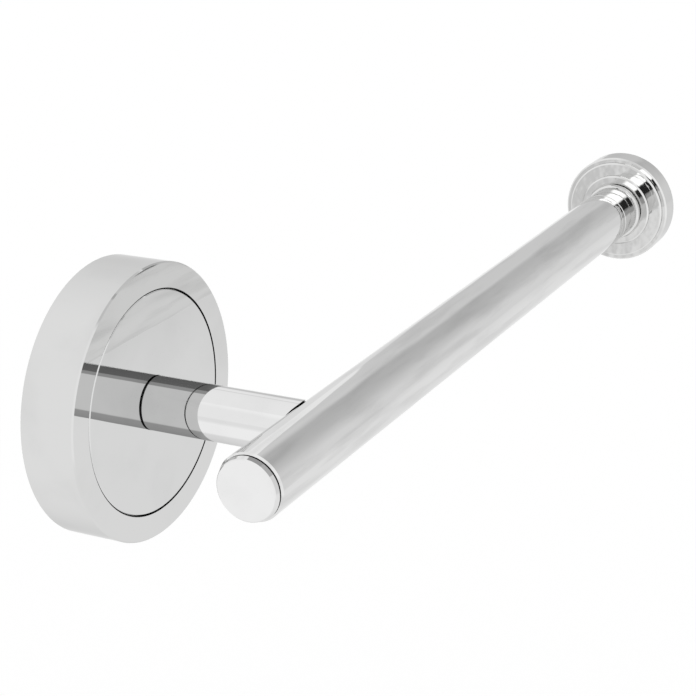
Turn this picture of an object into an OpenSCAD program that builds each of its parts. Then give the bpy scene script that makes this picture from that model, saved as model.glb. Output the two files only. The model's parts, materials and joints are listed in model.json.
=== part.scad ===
// Wall-mounted holder for toilet rolls: a round rose, a short arm and a long bar with a stop at its free end.
// The origin is the centre of the rose on the wall, Y+ goes into the wall, Z+ is up and the bar runs along X.

/* [Rose on the wall] */
// Outside diameter of the rose
rose_d = 75.5; // [64:0.5:100]
// Distance that the rose stands off the wall
rose_depth = 15.8; // [15.2:0.1:24]
// Thickness of the rose's side wall
rose_wall = 2.5; // [1.8:0.1:3.2]
// Chamfer round the front edge of the rose
rose_chamfer = 0.4; // [0.2:0.1:1.5]
// Width of the ring round the rose's front
ring_w = 7; // [5:0.1:12]
// Thickness of the disc let into that ring
disc_t = 3; // [2.4:0.1:3.8]
// Width of the shadow groove round the disc
groove_w = 0.4; // [0.15:0.05:0.6]
// Width of the ledge that the disc lies on
ledge_w = 3.5; // [3:0.1:6]
// Thickness of that ledge
ledge_t = 1.8; // [1.2:0.1:2.5]
// Thickness of the plate that clamps the ledge from behind
backing_t = 2.2; // [1.5:0.1:3]

/* [Wall bracket] */
// Thickness of the bracket's base
bracket_t = 2; // [1.2:0.1:2.6]
// Thickness of the bracket's rim
rim_t = 2.2; // [1.6:0.1:3]
// Distance between the two wall screws
screw_spacing = 42; // [34:1:46]
// Width of a screw slot
slot_w = 5.2; // [3.5:0.1:6]
// Length of a screw slot from end to end
slot_len = 9; // [7:0.5:12]
// Thread diameter of the grub screw under the rose
grub_d = 4; // [3:0.5:4.5]

/* [Arm] */
// Diameter of the arm
arm_d = 14.8; // [12:0.1:17]
// Distance from the wall to the middle of the bar
projection = 66; // [50:1:100]
// Depth that the arm is let into the disc
arm_seat = 1.2; // [0.6:0.1:1.8]
// Width and depth of the shadow lines at the arm's foot and at the bar
arm_line = 0.4; // [0.2:0.1:0.8]
// Thread diameter of the rod that draws the arm, the bar and the rose together
rod_d = 6; // [5:0.5:6.5]
// Thickness of the flat washer
washer_t = 0.8; // [0.5:0.1:1.4]
// Thickness of the spring washer
lock_t = 1.2; // [0.8:0.1:1.8]
// Thickness of the nut
nut_t = 3.2; // [2.4:0.1:3.9]
// Width across the flats of the nut
nut_af = 10; // [9.5:0.5:13]
// Diameter of the two dowels that stop the arm and the disc turning
dowel_d = 2; // [1.5:0.1:2.2]

/* [Bar] */
// Diameter of the bar
bar_d = 18; // [16.5:0.5:22]
// Wall of the bar's tube
bar_wall = 1.5; // [1.2:0.1:2.2]
// Distance from the arm to the capped end of the tube
bar_short = 36.9; // [28:0.1:60]
// Distance from the arm to the end of the tube at the stop
bar_long = 201.5; // [110:0.5:300]
// Chamfer on the tube beside the cap
bar_chamfer = 0.5; // [0.3:0.1:1]
// Length of the part of the cap that shows
cap_len = 2; // [1.2:0.1:8]
// Diameter of the cap's flat face
cap_face_d = 15.8; // [14:0.1:16]
// Diameter of the cap beside the seam
cap_d = 17; // [16.2:0.1:17.8]
// Width of the seam between cap and tube
seam_w = 0.6; // [0.2:0.05:0.8]
// Length of the plugs inside the tube's two ends
plug_len = 14; // [8:1:20]
// Length of the nut bar inside the tube at the arm
insert_len = 26; // [14:1:40]

/* [End stop] */
// Diameter of the neck between bar and stop
neck_d = 17.6; // [16:0.1:17.8]
// Length of the neck
neck_len = 13.6; // [9:0.1:24]
// Distance of the neck's fine ring from the tube
ring_at = 3; // [2:0.1:6]
// Diameter of the round bead beside the neck
bead_d = 19.4; // [18:0.1:22]
// Width of the bead
bead_w = 2.7; // [1.6:0.1:5]
// Width and depth of the groove round the bead
root_w = 0.5; // [0.2:0.1:0.6]
// Diameter of the inner step on the stop's face
step_in_d = 24.6; // [24:0.1:30]
// Diameter of the outer step on the stop's face
step_out_d = 33.4; // [31:0.1:35]
// Height of each of the two steps
step_h = 0.9; // [0.4:0.1:2]
// Diameter of the stop
stop_d = 36.6; // [36:0.1:42]
// Thickness of the stop behind its steps
stop_t = 8.3; // [5:0.1:12]
// Depth of the stud in the stop
stud_grip = 7; // [4:0.5:7.5]

/* [Hidden] */
$fn = 96;

slip = 0.3;         // gap between parts that slide together
seat_gap = 0.12;    // gap round a part that is let into another
thread_gap = 0.05;  // gap between a thread and its hole
rod_room = 0.3;     // gap round the rod where it only passes through
edge = 0.25;        // small chamfer on turned edges
rim_room = 0.8;     // gap between the bracket's rim and the backing plate
tip_wall = 2;       // metal left beyond the tip of the rod and of the stud
over = 1;           // how far a cut runs past what it cuts

rose_r = rose_d / 2;
disc_r = rose_r - ring_w - groove_w;
arm_r = arm_d / 2;
foot_r = arm_r - arm_line;
bar_r = bar_d / 2;
bore_r = bar_r - bar_wall;
rod_r = rod_d / 2;
inside_r = rose_r - rose_wall;
rim_r = inside_r - slip;
ledge_r = disc_r - ledge_w;

// Heights above the wall of the parts stacked in the rose
disc_back = rose_depth - disc_t;
ledge_back = disc_back - ledge_t;
plate_back = ledge_back - backing_t;
washer_back = plate_back - washer_t;
lock_back = washer_back - lock_t;
nut_back = lock_back - nut_t;
rod_back = nut_back - edge;
arm_back = rose_depth - arm_seat;

rim_h = plate_back - rim_room;
grub_h = (bracket_t + rim_h) / 2;
grub_groove = 0.9;
grub_sunk = 0.5;
hex_af = grub_d / 2;
backing_lap = 1.2;
backing_r = disc_r + groove_w + backing_lap;
washer_r = 0.6 * nut_af;
lock_w = 1.5 * lock_t;
dowel_len = 5;
arm_dowel_r = (foot_r + rod_r + rod_room) / 2;
disc_dowel_r = ledge_r + ledge_w / 2;
rod_front = projection + bore_r - tip_wall;

plug_r = bore_r - thread_gap;
neck_r = neck_d / 2;
ring_depth = 0.3;
seam_depth = 0.9;
stud_back = bar_long - plug_len + tip_wall;
stud_front = bar_long + neck_len + stud_grip;

function across_corners(af) = af / cos(30);

// Places a part drawn with Z out from the wall and Y up
module from_wall(h = 0) translate([0, -h, 0]) rotate([90, 0, 0]) children();

// Places a part drawn with Z along the bar, x measured from the arm
module on_bar(x) translate([x, -projection, 0]) rotate([0, 90, 0]) children();

// A solid of revolution from its half outline, each point as radius and height
module turned(outline) rotate_extrude() polygon(outline);

// A plain pin with both ends chamfered
module pin(d, len, c = edge)
    turned([[0, 0], [d / 2 - c, 0], [d / 2, c], [d / 2, len - c], [d / 2 - c, len], [0, len]]);

module drill(r, from, to) translate([0, 0, from]) cylinder(r = r, h = to - from);

module screw_slot() linear_extrude(bracket_t + 2 * over) {
    square([slot_len - slot_w, slot_w], center = true);
    for (side = [-1, 1]) translate([side * (slot_len - slot_w) / 2, 0]) circle(d = slot_w);
}

module wall_bracket() color("gainsboro") from_wall() difference() {
    turned([[0, 0], [rim_r, 0],
            [rim_r, grub_h - grub_groove], [rim_r - grub_groove, grub_h], [rim_r, grub_h + grub_groove],
            [rim_r, rim_h - edge], [rim_r - edge, rim_h],
            [rim_r - rim_t, rim_h], [rim_r - rim_t, bracket_t], [0, bracket_t]]);
    for (side = [-1, 1]) translate([side * screw_spacing / 2, 0, -over]) screw_slot();
}

module rose_cover() color([0.86, 0.87, 0.88]) from_wall() difference() {
    turned([[inside_r, 0], [rose_r, 0],
            [rose_r, rose_depth - rose_chamfer], [rose_r - rose_chamfer, rose_depth],
            [disc_r + groove_w, rose_depth], [disc_r + groove_w, disc_back],
            [ledge_r, disc_back], [ledge_r, ledge_back], [inside_r, ledge_back]]);
    translate([0, 0, grub_h]) rotate([90, 0, 0])
        drill(grub_d / 2 + thread_gap, inside_r - over, rose_r + over);
    translate([0, disc_dowel_r, 0]) drill(dowel_d / 2 + thread_gap, ledge_back - over, disc_back + over);
}

module face_disc() color([0.80, 0.81, 0.83]) from_wall() difference() {
    turned([[rod_r + rod_room, disc_back], [disc_r, disc_back],
            [disc_r, rose_depth - edge], [disc_r - edge, rose_depth],
            [foot_r + seat_gap, rose_depth], [foot_r + seat_gap, arm_back], [rod_r + rod_room, arm_back]]);
    translate([0, disc_dowel_r, 0]) drill(dowel_d / 2 + thread_gap, disc_back - over, disc_back + disc_t / 2);
    translate([0, arm_dowel_r, 0]) drill(dowel_d / 2 + thread_gap, disc_back - over, rose_depth);
}

// The boss fills the opening inside the ledge, so the disc is backed right across
module backing_plate() color("silver") from_wall() difference() {
    turned([[rod_r + rod_room, plate_back], [backing_r, plate_back], [backing_r, ledge_back],
            [ledge_r - slip, ledge_back], [ledge_r - slip, disc_back], [rod_r + rod_room, disc_back]]);
    translate([0, disc_dowel_r, 0]) drill(dowel_d / 2 + thread_gap, plate_back - over, ledge_back + over);
}

// Screwed in from below until its point sits in the groove of the bracket's rim
module rose_grub_screw() color("dimgray") translate([0, -grub_h, -(rose_r - grub_sunk)]) difference() {
    len = rose_r - grub_sunk - (rim_r - grub_groove) - slip;
    point = grub_d / 2 - edge;
    turned([[0, 0], [grub_d / 2 - edge, 0], [grub_d / 2, edge],
            [grub_d / 2, len - point], [edge, len], [0, len]]);
    translate([0, 0, -over]) cylinder(d = across_corners(hex_af), h = over + hex_af / 2, $fn = 6);
}

// The foot is let into the disc and the other end is coped to the bar, each with a fine shadow line
module arm() color([0.82, 0.83, 0.85]) difference() {
    from_wall() difference() {
        shoulder = rose_depth + arm_line;
        turned([[rod_r + rod_room, arm_back], [foot_r, arm_back], [foot_r, shoulder],
                [arm_r, shoulder], [arm_r, projection], [rod_r + rod_room, projection]]);
        translate([0, arm_dowel_r, 0])
            drill(dowel_d / 2 + thread_gap, arm_back - over, arm_back + dowel_len / 2 + edge);
    }
    on_bar(-arm_d) cylinder(r = bar_r + thread_gap, h = 2 * arm_d);
    difference() {
        on_bar(-arm_d) cylinder(r = bar_r + arm_line, h = 2 * arm_d);
        from_wall() drill(foot_r, 0, projection + over);
    }
}

module arm_dowel() color("slategray")
    translate([0, 0, arm_dowel_r]) from_wall(arm_back - dowel_len / 2 + edge) pin(dowel_d, dowel_len);

module disc_dowel() color("slategray")
    translate([0, 0, disc_dowel_r]) from_wall(plate_back)
        pin(dowel_d, disc_back + disc_t / 2 - plate_back - edge);

module tie_rod() color("lightsteelblue") from_wall(rod_back) pin(rod_d, rod_front - rod_back, 2 * edge);

module flat_washer() color("silver") from_wall()
    turned([[rod_r + rod_room, washer_back], [washer_r, washer_back],
            [washer_r, plate_back], [rod_r + rod_room, plate_back]]);

// A split ring of square wire
module spring_washer() color("darkgray") from_wall() difference() {
    turned([[rod_r + thread_gap, lock_back], [rod_r + lock_w, lock_back],
            [rod_r + lock_w, washer_back], [rod_r + thread_gap, washer_back]]);
    translate([rod_r, 0, lock_back + lock_t / 2]) rotate([30, 0, 0])
        cube([rod_d, lock_t / 2, 3 * lock_t], center = true);
}

module tie_nut() color("silver") from_wall() difference() {
    corner_r = across_corners(nut_af) / 2;
    intersection() {
        translate([0, 0, nut_back]) cylinder(r = corner_r, h = nut_t, $fn = 6);
        turned([[0, nut_back], [nut_af / 2, nut_back], [corner_r, nut_back + edge],
                [corner_r, lock_back - edge], [nut_af / 2, lock_back], [0, lock_back]]);
    }
    drill(rod_r + thread_gap, nut_back - over, lock_back + over);
}

module roll_bar() color([0.74, 0.75, 0.77]) difference() {
    len = bar_short + bar_long;
    on_bar(-bar_short) turned([[bore_r, 0], [bar_r - bar_chamfer, 0], [bar_r, bar_chamfer],
                               [bar_r, len - 2 * edge], [bar_r - 2 * edge, len], [bore_r, len]]);
    from_wall() drill(rod_r + rod_room, projection - bar_r - over, projection);
}

module bar_insert() color("darkkhaki") difference() {
    on_bar(-insert_len / 2) pin(2 * plug_r, insert_len, 2 * edge);
    from_wall() drill(rod_r + thread_gap, projection - bar_r, rod_front + edge);
}

// The cap tapers up to the seam, a narrow slot that ends at the tube's chamfer
module near_end_cap() color([0.88, 0.88, 0.89]) on_bar(-bar_short - cap_len) {
    face_r = cap_face_d / 2;
    cap_r = cap_d / 2;
    tip = cap_len + plug_len;
    seam_r = cap_r - seam_depth;
    turned([[0, 0], [face_r, 0], [face_r + edge, edge], [cap_r, cap_len - seam_w], [seam_r, cap_len - seam_w],
            [seam_r, cap_len], [plug_r, cap_len],
            [plug_r, tip - 2 * edge], [plug_r - 2 * edge, tip], [0, tip]]);
}

module end_plug() color("darkkhaki") on_bar(bar_long - plug_len) difference() {
    pin(2 * plug_r, plug_len, 2 * edge);
    drill(rod_r + thread_gap, tip_wall - edge, plug_len + over);
}

module end_stud() color("lightsteelblue") on_bar(stud_back) pin(rod_d, stud_front - stud_back, 2 * edge);

module end_neck() color([0.90, 0.90, 0.91]) on_bar(bar_long)
    turned([[rod_r + rod_room, 0], [neck_r - edge, 0], [neck_r, edge],
            [neck_r, ring_at - ring_depth], [neck_r - ring_depth, ring_at], [neck_r, ring_at + ring_depth],
            [neck_r, neck_len - edge], [neck_r - edge, neck_len], [rod_r + rod_room, neck_len]]);

module end_stop() color([0.84, 0.85, 0.86]) on_bar(bar_long + neck_len) difference() {
    bead_r = bead_d / 2;
    root_r = bead_r + root_w / 2;
    in_r = step_in_d / 2;
    out_r = step_out_d / 2;
    stop_r = stop_d / 2;
    step_1 = bead_w + step_h;
    step_2 = bead_w + 2 * step_h;
    back = step_2 + stop_t;
    bead = [for (a = [0:15:180]) [neck_r + (bead_r - neck_r) * sin(a), bead_w / 2 * (1 - cos(a))]];
    turned([[0, 0], each bead, [neck_r, bead_w + root_w], [root_r, bead_w + root_w], [root_r, bead_w],
            [in_r - 2 * edge, bead_w], [in_r, bead_w + 2 * edge], [in_r, step_1],
            [out_r - 2 * edge, step_1], [out_r, step_1 + 2 * edge], [out_r, step_2],
            [stop_r - 2 * edge, step_2], [stop_r, step_2 + 2 * edge],
            [stop_r, back - 2 * edge], [stop_r - 2 * edge, back], [0, back]]);
    drill(rod_r + thread_gap, -over, stud_grip + edge);
}

wall_bracket();
rose_cover();
face_disc();
backing_plate();
rose_grub_screw();
arm();
arm_dowel();
disc_dowel();
tie_rod();
flat_washer();
spring_washer();
tie_nut();
roll_bar();
bar_insert();
near_end_cap();
end_plug();
end_stud();
end_neck();
end_stop();
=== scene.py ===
import bpy
import json
import math
from mathutils import Matrix, Vector

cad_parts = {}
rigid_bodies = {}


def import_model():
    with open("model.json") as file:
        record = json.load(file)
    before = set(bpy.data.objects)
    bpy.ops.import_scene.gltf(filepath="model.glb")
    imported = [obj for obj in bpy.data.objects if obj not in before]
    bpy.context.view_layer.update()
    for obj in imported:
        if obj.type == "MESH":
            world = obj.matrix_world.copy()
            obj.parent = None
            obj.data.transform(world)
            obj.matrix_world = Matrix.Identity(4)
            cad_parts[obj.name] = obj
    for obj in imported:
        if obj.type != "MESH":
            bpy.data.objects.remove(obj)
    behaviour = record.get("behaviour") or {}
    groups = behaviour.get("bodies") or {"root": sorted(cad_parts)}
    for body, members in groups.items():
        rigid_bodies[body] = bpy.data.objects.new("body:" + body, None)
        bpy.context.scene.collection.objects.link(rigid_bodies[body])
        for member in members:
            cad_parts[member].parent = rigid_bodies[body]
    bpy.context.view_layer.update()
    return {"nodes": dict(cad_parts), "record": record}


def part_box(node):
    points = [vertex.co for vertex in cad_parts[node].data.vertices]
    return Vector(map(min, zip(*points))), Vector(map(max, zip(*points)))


for leftover in list(bpy.data.objects):
    bpy.data.objects.remove(leftover)
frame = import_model()
nodes = frame["nodes"]
print("frame loaded:", len(nodes), "nodes")


class Wire:  # a socket that takes part in arithmetic
    def __init__(self, bench, socket):
        self.bench = bench
        self.socket = socket

    def named(self):  # every output of the same node
        return {output.name: Wire(self.bench, output) for output in self.socket.node.outputs}

    def parts(self):  # the three numbers of a vector
        return list(self.bench.node("SeparateXYZ", None, {0: self}).named().values())

    def __add__(self, other):
        return self.bench.sum("ADD", self, other)

    def __radd__(self, other):
        return self.bench.sum("ADD", other, self)

    def __sub__(self, other):
        return self.bench.sum("SUBTRACT", self, other)

    def __rsub__(self, other):
        return self.bench.sum("SUBTRACT", other, self)

    def __mul__(self, other):
        return self.bench.sum("MULTIPLY", self, other)

    def __rmul__(self, other):
        return self.bench.sum("MULTIPLY", other, self)


class Bench:  # where the nodes of one material, or of the world, are wired up
    def __init__(self, owner):
        owner.use_nodes = True
        self.tree = owner.node_tree
        self.tree.nodes.clear()

    def node(self, kind, settings=None, sockets=None, output=0):
        made = self.tree.nodes.new("ShaderNode" + kind)
        for name, value in (settings or {}).items():
            setattr(made, name, value)
        for name, value in (sockets or {}).items():
            if isinstance(value, Wire):
                self.tree.links.new(value.socket, made.inputs[name])
            else:
                made.inputs[name].default_value = value
        return Wire(self, made.outputs[output]) if made.outputs else None

    def sum(self, operation, *terms):
        return self.node("Math", {"operation": operation}, dict(enumerate(terms)))

    def range(self, value, start, end):  # 0 up to start, 1 from end on, and smooth between them
        return self.node("MapRange", {"interpolation_type": "SMOOTHSTEP"},
                         {"Value": value, "From Min": start, "From Max": end})

    def mix(self, share, first, second):  # two numbers
        return self.node("Mix", {"data_type": "FLOAT"}, {0: share, 2: first, 3: second})

    def blend(self, share, *colours):  # two colours
        ends = [c if isinstance(c, Wire) else (*c, 1) for c in colours]
        return self.node("Mix", {"data_type": "RGBA"}, {0: share, 6: ends[0], 7: ends[1]}, 2)

    def join(self, x, y, z):
        return self.node("CombineXYZ", None, {0: x, 1: y, 2: z})

    def noise(self, place, size, detail=2.0):  # size is that of one blotch, in metres
        return self.node("TexNoise", None, {"Vector": place, "Scale": 1 / size, "Detail": detail})


photoView = dict(
    azimuth=-62.179, elevation=20.28, roll=-1.604,  # degrees
    distance=0.50891, aim=(0.04212, -0.0516, 0.00632), nearest=0.01,  # metres
    lens=95.992)  # millimetres


def addCamera(v):
    azimuth, elevation, roll = (math.radians(v[k]) for k in ("azimuth", "elevation", "roll"))
    back = Vector((math.sin(azimuth) * math.cos(elevation),
                   -math.cos(azimuth) * math.cos(elevation),
                   math.sin(elevation)))
    right = Vector((math.cos(azimuth), math.sin(azimuth), 0))
    up = back.cross(right)
    right, up = (right * math.cos(roll) + up * math.sin(roll),
                 up * math.cos(roll) - right * math.sin(roll))
    camera = bpy.data.objects.new("camera", bpy.data.cameras.new("camera"))
    camera.data.lens = v["lens"]
    camera.data.clip_start = v["nearest"]
    camera.matrix_world = Matrix.Translation(Vector(v["aim"]) + back * v["distance"]) @ \
        Matrix((right, up, back)).transposed().to_4x4()
    bpy.context.scene.collection.objects.link(camera)
    bpy.context.scene.camera = camera


addCamera(photoView)
print("camera placed")


studio = dict(
    diffuse=0.8,  # light on the floor
    front=0.84, top=0.56, low=0.96, back=1.0,  # what chrome sees of the tent, 1 is white
    topUp=(0, 0.58), topRight=(0.1, 0.5),  # how far up, right or back the direction points
    lowUp=(0.05, -0.45), backIn=(-0.02, 0.36),  # where each of those begins and where it is full
    again=0.93,  # what it sees of the tent in another piece of chrome
    againFrom=1.5,  # bounces, past which that holds
    slant=(0.949, -0.292, -0.111),  # a pole 18 degrees off the bar, for the wedge of light on it
    # each flag: cone is degrees from its pole, which points right for x and to the front for y;
    # turn is degrees about the pole, upwards from front for x, right for y, the wall for slant;
    # soft is half the width of its edges in cone and in turn
    flags=dict(
        once=[
            # top of the bar, its front, the disc high up, the wedge on the bar, the side of the rose
            dict(pole="x", cone=(-9, 50), turn=(104, 190), soft=(4, 14), level=0.75),
            dict(pole="x", cone=(10, 36.4), turn=(-19.5, 6), soft=(0.6, 3.5), level=0.83),
            dict(pole="x", cone=(36.4, 48), turn=(-32.8, -12), soft=(0.6, 1.7), level=0.86),
            dict(pole="slant", cone=(52.3, 64), turn=(-30, 78), soft=(0.2, 4), level=1.04),
            dict(pole="y", cone=(121.9, 128), turn=(-60, 75), soft=(0.3, 30), level=0.93),
            # face of the stop, and its upper part
            dict(pole="y", cone=(104, 113), turn=(-180, -148), soft=(1, 3), level=0.9),
            dict(pole="y", cone=(108.3, 113), turn=(-180, -148), soft=(1.6, 3), level=0.7),
            # a line along the arm, up to the seam at 180 degrees and past it
            dict(pole="y", cone=(114, 121.2), turn=(177, 190), soft=(0.5, 2), level=0.93),
            dict(pole="y", cone=(114, 121.2), turn=(-190, -168), soft=(0.5, 4), level=0.93),
            # the cap with the arm below that line, and the underside of the arm
            dict(pole="y", cone=(114, 121.2), turn=(-162, -112), soft=(0.5, 3), level=1.07),
            dict(pole="y", cone=(114, 121.2), turn=(-108, -20), soft=(0.5, 6), level=0.88),
            # edges of rose, disc and stop, and the arm above its line with the near end of the bar
            dict(pole="x", cone=(79, 132), turn=(-34, 66), soft=(2, 6), level=1.05),
            dict(pole="x", cone=(114, 132), turn=(60, 125), soft=(2, 4), level=1.08),
            # upper edges of rose and disc, the cap's chamfer to the right, the upper edges again
            dict(pole="x", cone=(42, 78), turn=(22, 66), soft=(1, 4), level=1.05),
            dict(pole="x", cone=(58, 76), turn=(-20, 32), soft=(2, 5), level=0.82),
            dict(pole="x", cone=(44, 92), turn=(39, 62), soft=(4, 2), level=0.72),
            # dark arc in the cap's chamfer, and the top of that chamfer
            dict(pole="x", cone=(69.5, 74), turn=(32, 70), soft=(1, 2), level=0.52),
            dict(pole="x", cone=(62, 74), turn=(70, 115), soft=(2, 2), level=0.4),
        ],
        again=[
            # bar in disc and rose: all of it, its side to the wall, its lower edge
            dict(pole="x", cone=(-9, 44), turn=(-190, 190), soft=(1, 3), level=1.1),
            dict(pole="x", cone=(-9, 44), turn=(-165, -70), soft=(1, 25), level=1.15),
            dict(pole="x", cone=(-9, 44), turn=(-66, -10), soft=(1, 12), level=1.06),
            # arm in disc and disc in arm: upper side, the darkest part of it, lower side
            dict(pole="y", cone=(53.5, 60.4), turn=(0, 82), soft=(0.5, 2), level=0.45),
            dict(pole="y", cone=(53.5, 60.4), turn=(0, 64), soft=(0.5, 2), level=0.19),
            dict(pole="y", cone=(53.5, 60.4), turn=(-112, -38), soft=(0.5, 5), level=0.5),
            # neck in stop and stop in neck: light top, dark front, the black part of it, lower side
            dict(pole="x", cone=(151, 189), turn=(60, 124), soft=(0.5, 6), level=2.0),
            dict(pole="x", cone=(151, 189), turn=(-14, 56), soft=(0.5, 5), level=0.52),
            dict(pole="x", cone=(151, 189), turn=(12, 56), soft=(0.5, 5), level=0.03),
            dict(pole="x", cone=(151, 189), turn=(-130, -40), soft=(0.5, 12), level=0.9),
        ]))


def lightStudio(s):
    world = bpy.data.worlds.new("studio")
    bpy.context.scene.world = world
    bench = Bench(world)
    x, y, z = bench.node("TexCoord").parts()  # in a world, the direction: right, to the wall, up
    degree = 180 / math.pi
    alongX, alongY, alongZ = s["slant"]
    slant = x * alongX + y * alongY + z * alongZ
    around = {"x": (bench.sum("ARCCOSINE", x) * degree, bench.sum("ARCTAN2", z, 0 - y) * degree),
              "y": (bench.sum("ARCCOSINE", 0 - y) * degree, bench.sum("ARCTAN2", z, x) * degree),
              "slant": (bench.sum("ARCCOSINE", slant) * degree, bench.sum("ARCTAN2", z, y) * degree)}
    upRight = bench.range(z, *s["topUp"]) * bench.range(x, *s["topRight"])
    once = s["front"] + upRight * (s["top"] - s["front"])
    once = once + bench.range(z, *s["lowUp"]) * (s["low"] - s["front"])
    seen = {"once": bench.mix(bench.range(y, *s["backIn"]), once, s["back"]), "again": s["again"]}
    for when, flags in s["flags"].items():
        for flag in flags:
            mask = 1
            spans = zip(around[flag["pole"]], (flag["cone"], flag["turn"]), flag["soft"])
            for angle, (start, end), soft in spans:
                mask = mask * bench.range(angle, start - soft, start + soft)
                mask = mask * (1 - bench.range(angle, end - soft, end + soft))
            seen[when] = bench.mix(mask, seen[when], flag["level"])
    path = bench.node("LightPath").named()
    bounced = bench.sum("GREATER_THAN", path["Glossy Depth"], s["againFrom"])
    levels = {"sky": s["diffuse"], "tent": bench.mix(bounced, seen["once"], seen["again"]), "white": 1.0}
    glow = {name: bench.node("Background", None, {"Color": (1, 1, 1, 1), "Strength": level})
            for name, level in levels.items()}
    lit = bench.node("MixShader", None, {0: path["Is Glossy Ray"], 1: glow["sky"], 2: glow["tent"]})
    shown = bench.node("MixShader", None, {0: path["Is Camera Ray"], 1: lit, 2: glow["white"]})
    bench.node("OutputWorld", None, {"Surface": shown})


lightStudio(studio)
bpy.context.scene.view_settings.view_transform = "Standard"
print("studio lit")


floorLook = dict(low=0.25, half=3.0,  # metres below the bar, metres from the middle to the edges
                 paint=0.9)


def layFloor(look):
    mesh = bpy.data.meshes.new("floor")
    half, z = look["half"], -look["low"]
    corners = [(-half, -half, z), (half, -half, z), (half, half, z), (-half, half, z)]
    mesh.from_pydata(corners, [], [(0, 1, 2, 3)])
    floor = bpy.data.objects.new("floor", mesh)
    bpy.context.scene.collection.objects.link(floor)
    floor.visible_glossy = False  # chrome sees the tent alone
    made = bpy.data.materials.new("floor_paint")
    mesh.materials.append(made)
    bench = Bench(made)
    paint = bench.node("BsdfDiffuse", None, {"Color": (look["paint"],) * 3 + (1,)})
    missing = 1 - look["paint"] * studio["diffuse"]  # what the open floor lacks to be white
    isCamera = bench.node("LightPath").named()["Is Camera Ray"]
    glow = bench.node("Emission", None, {"Strength": isCamera * missing})
    bench.node("OutputMaterial", None, {"Surface": bench.node("AddShader", None, {0: paint, 1: glow})})


layFloor(floorLook)
print("floor laid")


barLow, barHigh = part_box("roll_bar")
axes = {"wall": dict(along=1, across=(0, 2), centre=(0, 0)),  # what the rose and the arm were turned about
        "bar": dict(along=0, across=(1, 2), centre=[(barLow[i] + barHigh[i]) / 2 for i in (1, 2)])}
# smear is the chrome's own uneven tone; the rest is painted shade: nooks, creases and joints go nearly
# black in the colour, and rougher
smearsAndShade = dict(smear=(0.42, 0.68),  # noise at which a smear begins and is full
            smearDetail=4, waveDetail=1,
            nook=0.0008, nookRays=8,  # metres that the painted shade reaches out of a nook
            paintedShade=(0.62, 0.3),  # openness at which the painted shade begins and is full
            shadeTint=0.06, nookHaze=0.2)


def finish(name, look):
    made = bpy.data.materials.new(name)
    bench = Bench(made)
    place = bench.node("TexCoord").named()["Object"]
    spot = place.parts()
    axis = axes[look["axis"]]
    along = spot[axis["along"]]
    u, v = (spot[i] - centre for i, centre in zip(axis["across"], axis["centre"]))
    slow = 1 / look["stretch"]
    if look["lay"] == "round":  # lathe and buffing marks run round the axis
        radius = bench.sum("SQRT", u * u + v * v)
        lines = bench.noise(bench.join(radius + u * slow, along + v * slow, 0), look["lineSize"])
    else:  # drawing marks run along it
        lines = bench.noise(bench.join(u, v, along * slow), look["lineSize"])
    smearAt = bench.join(u, v, along * look.get("smearPull", 1))
    smear = bench.range(bench.noise(smearAt, look["smearSize"], smearsAndShade["smearDetail"]), *smearsAndShade["smear"])
    nook = bench.node("AmbientOcclusion", {"samples": smearsAndShade["nookRays"]}, {"Distance": smearsAndShade["nook"]})
    paintedShade = bench.range(nook.named()["AO"], *smearsAndShade["paintedShade"])
    colour = bench.blend(smear, look["tint"], [c * look["dull"] for c in look["tint"]])
    # painted shade: where the AO node finds a nook, crease or joint, the colour drops to a few percent of
    # the tint
    colour = bench.blend(paintedShade, colour, [c * smearsAndShade["shadeTint"] for c in look["tint"]])
    roughness = look["gloss"] + smear * look["smearHaze"] + lines * look["lineHaze"]
    roughness = roughness + paintedShade * smearsAndShade["nookHaze"]
    waveAt = bench.join(u, v, along * look.get("wavePull", 1))
    waves = bench.noise(waveAt, look["waveSize"], smearsAndShade["waveDetail"])
    height = lines * look["lineDepth"] + waves * look["waveDepth"]
    relief = bench.node("Bump", None, {"Height": height, "Distance": 1.0, "Strength": 1.0})
    rim = look.get("rim", 0.8)  # how bright it is where it is seen at a low angle
    skin = bench.node("BsdfPrincipled", None, {
        "Base Color": colour, "Roughness": roughness, "Metallic": 1.0,
        "Normal": relief, "Specular Tint": (rim, rim, rim, 1)})
    bench.node("OutputMaterial", None, {"Surface": skin})
    return made


micron = 1e-6
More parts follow.
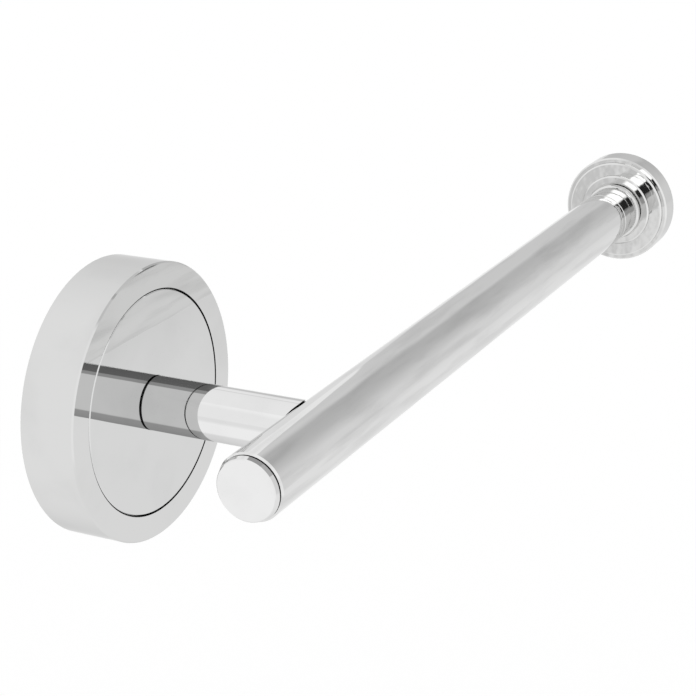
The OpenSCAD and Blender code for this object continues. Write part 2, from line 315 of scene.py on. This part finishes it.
# tint, and dull for its share in the smears; gloss is roughness, haze is what marks add to it;
# stretch is how many times longer than wide a mark is; pull is the same for smears and waves, as a share;
# sizes and depths are in metres
finishes = dict(
    rose_chrome=dict(axis="wall", lay="round", tint=(0.708, 0.709, 0.706), dull=0.95, gloss=0.012,
                     stretch=30, lineSize=0.0006, lineHaze=0.02, lineDepth=0.15 * micron,
                     smearSize=0.02, smearHaze=0.02, waveSize=0.012, waveDepth=16 * micron),
    disc_chrome=dict(axis="wall", lay="round", tint=(0.705, 0.707, 0.705), dull=0.97, gloss=0.012,
                     stretch=30, lineSize=0.0006, lineHaze=0.02, lineDepth=0.1 * micron,
                     smearSize=0.016, smearHaze=0.02, waveSize=0.012, waveDepth=20 * micron),
    arm_chrome=dict(axis="wall", lay="along", tint=(0.78, 0.78, 0.78), dull=0.97, gloss=0.012,
                    stretch=30, lineSize=0.0008, lineHaze=0.02, lineDepth=0.15 * micron,
                    smearSize=0.012, smearHaze=0.03, waveSize=0.01, waveDepth=12 * micron),
    bar_chrome=dict(axis="bar", lay="along", tint=(0.765, 0.765, 0.763), rim=0.9, dull=0.88, gloss=0.015,
                    stretch=30, lineSize=0.0009, lineHaze=0.03, lineDepth=0.6 * micron, smearPull=0.12,
                    smearSize=0.004, smearHaze=0.04, wavePull=0.16, waveSize=0.004, waveDepth=110 * micron),
    stop_chrome=dict(axis="bar", lay="round", tint=(0.76, 0.76, 0.755), dull=0.95, gloss=0.01,
                     stretch=12, lineSize=0.0011, lineHaze=0.03, lineDepth=6 * micron,
                     smearSize=0.006, smearHaze=0.04, waveSize=0.0035, waveDepth=55 * micron),
    bracket_zinc=dict(axis="wall", lay="along", tint=(0.60, 0.62, 0.64), dull=0.88, gloss=0.3,
                      stretch=8, lineSize=0.0012, lineHaze=0.12, lineDepth=4 * micron,
                      smearSize=0.009, smearHaze=0.08, waveSize=0.006, waveDepth=15 * micron),
    plain_steel=dict(axis="wall", lay="round", tint=(0.52, 0.53, 0.54), dull=0.85, gloss=0.22,
                     stretch=10, lineSize=0.0006, lineHaze=0.15, lineDepth=3 * micron,
                     smearSize=0.003, smearHaze=0.1, waveSize=0.004, waveDepth=8 * micron),
    dark_steel=dict(axis="wall", lay="round", tint=(0.12, 0.12, 0.13), dull=0.75, gloss=0.35,
                    stretch=10, lineSize=0.0005, lineHaze=0.15, lineDepth=2 * micron,
                    smearSize=0.002, smearHaze=0.1, waveSize=0.003, waveDepth=6 * micron),
    turned_brass=dict(axis="bar", lay="round", tint=(0.68, 0.50, 0.22), dull=0.8, gloss=0.2,
                      stretch=10, lineSize=0.0006, lineHaze=0.15, lineDepth=4 * micron,
                      smearSize=0.004, smearHaze=0.12, waveSize=0.005, waveDepth=8 * micron))
skins = {slot: finish(slot, look) for slot, look in finishes.items()}
for part in frame["record"]["subparts"]:
    mesh = nodes[part["node"]].data
    mesh.materials.clear()
    mesh.materials.append(skins[part["material_slot"]])
print("finishes on:", len(skins))
